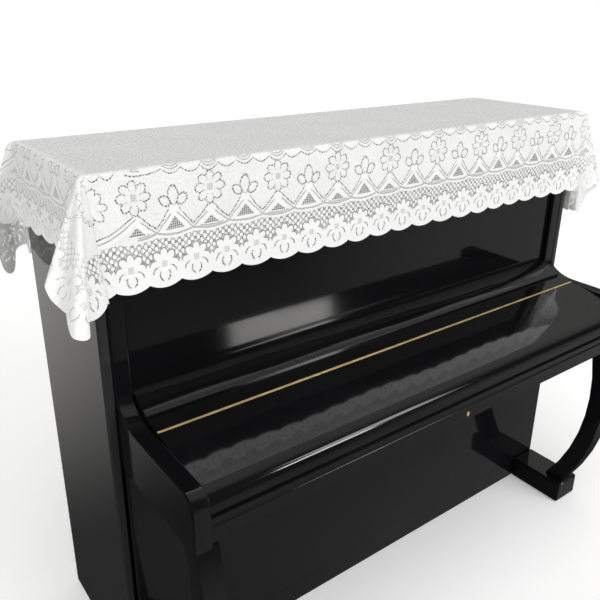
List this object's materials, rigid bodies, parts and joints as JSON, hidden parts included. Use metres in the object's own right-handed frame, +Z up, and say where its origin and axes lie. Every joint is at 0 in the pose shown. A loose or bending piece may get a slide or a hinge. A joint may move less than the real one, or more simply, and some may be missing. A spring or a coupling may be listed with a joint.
{
  "type": "lace piano top cover on a plain upright piano",
  "caption": "White lace cloth with a scalloped flower border, draped over the lid of a plain black upright piano so that its hems hang on all sides.",
  "frame": {"origin": "on the floor, under the middle of the piano's lid", "axes": "+Z up, +X along the keyboard to the player's right, -Y towards the player"},
  "size_m": [1.7641, 0.8324, 1.2218],
  "materials": {
    "white_lace": "matte knitted lace",
    "black_polish": "high gloss black polish",
    "brass": "polished"
  },
  "bodies": {
    "root": {"back_board": "black_polish", "bottom_board": "black_polish", "cheek_left": "black_polish", "cheek_right": "black_polish", "fallboard": "black_polish", "fallboard_hinge": "brass", "key_bed": "black_polish", "key_slip": "black_polish", "lace_cover": "white_lace", "ledge": "black_polish", "leg_left": "black_polish", "leg_right": "black_polish", "lower_panel": "black_polish", "side_left": "black_polish", "side_right": "black_polish", "toe_left": "black_polish", "toe_right": "black_polish", "top_lid": "black_polish", "upper_panel": "black_polish"}
  },
  "joints": []
}
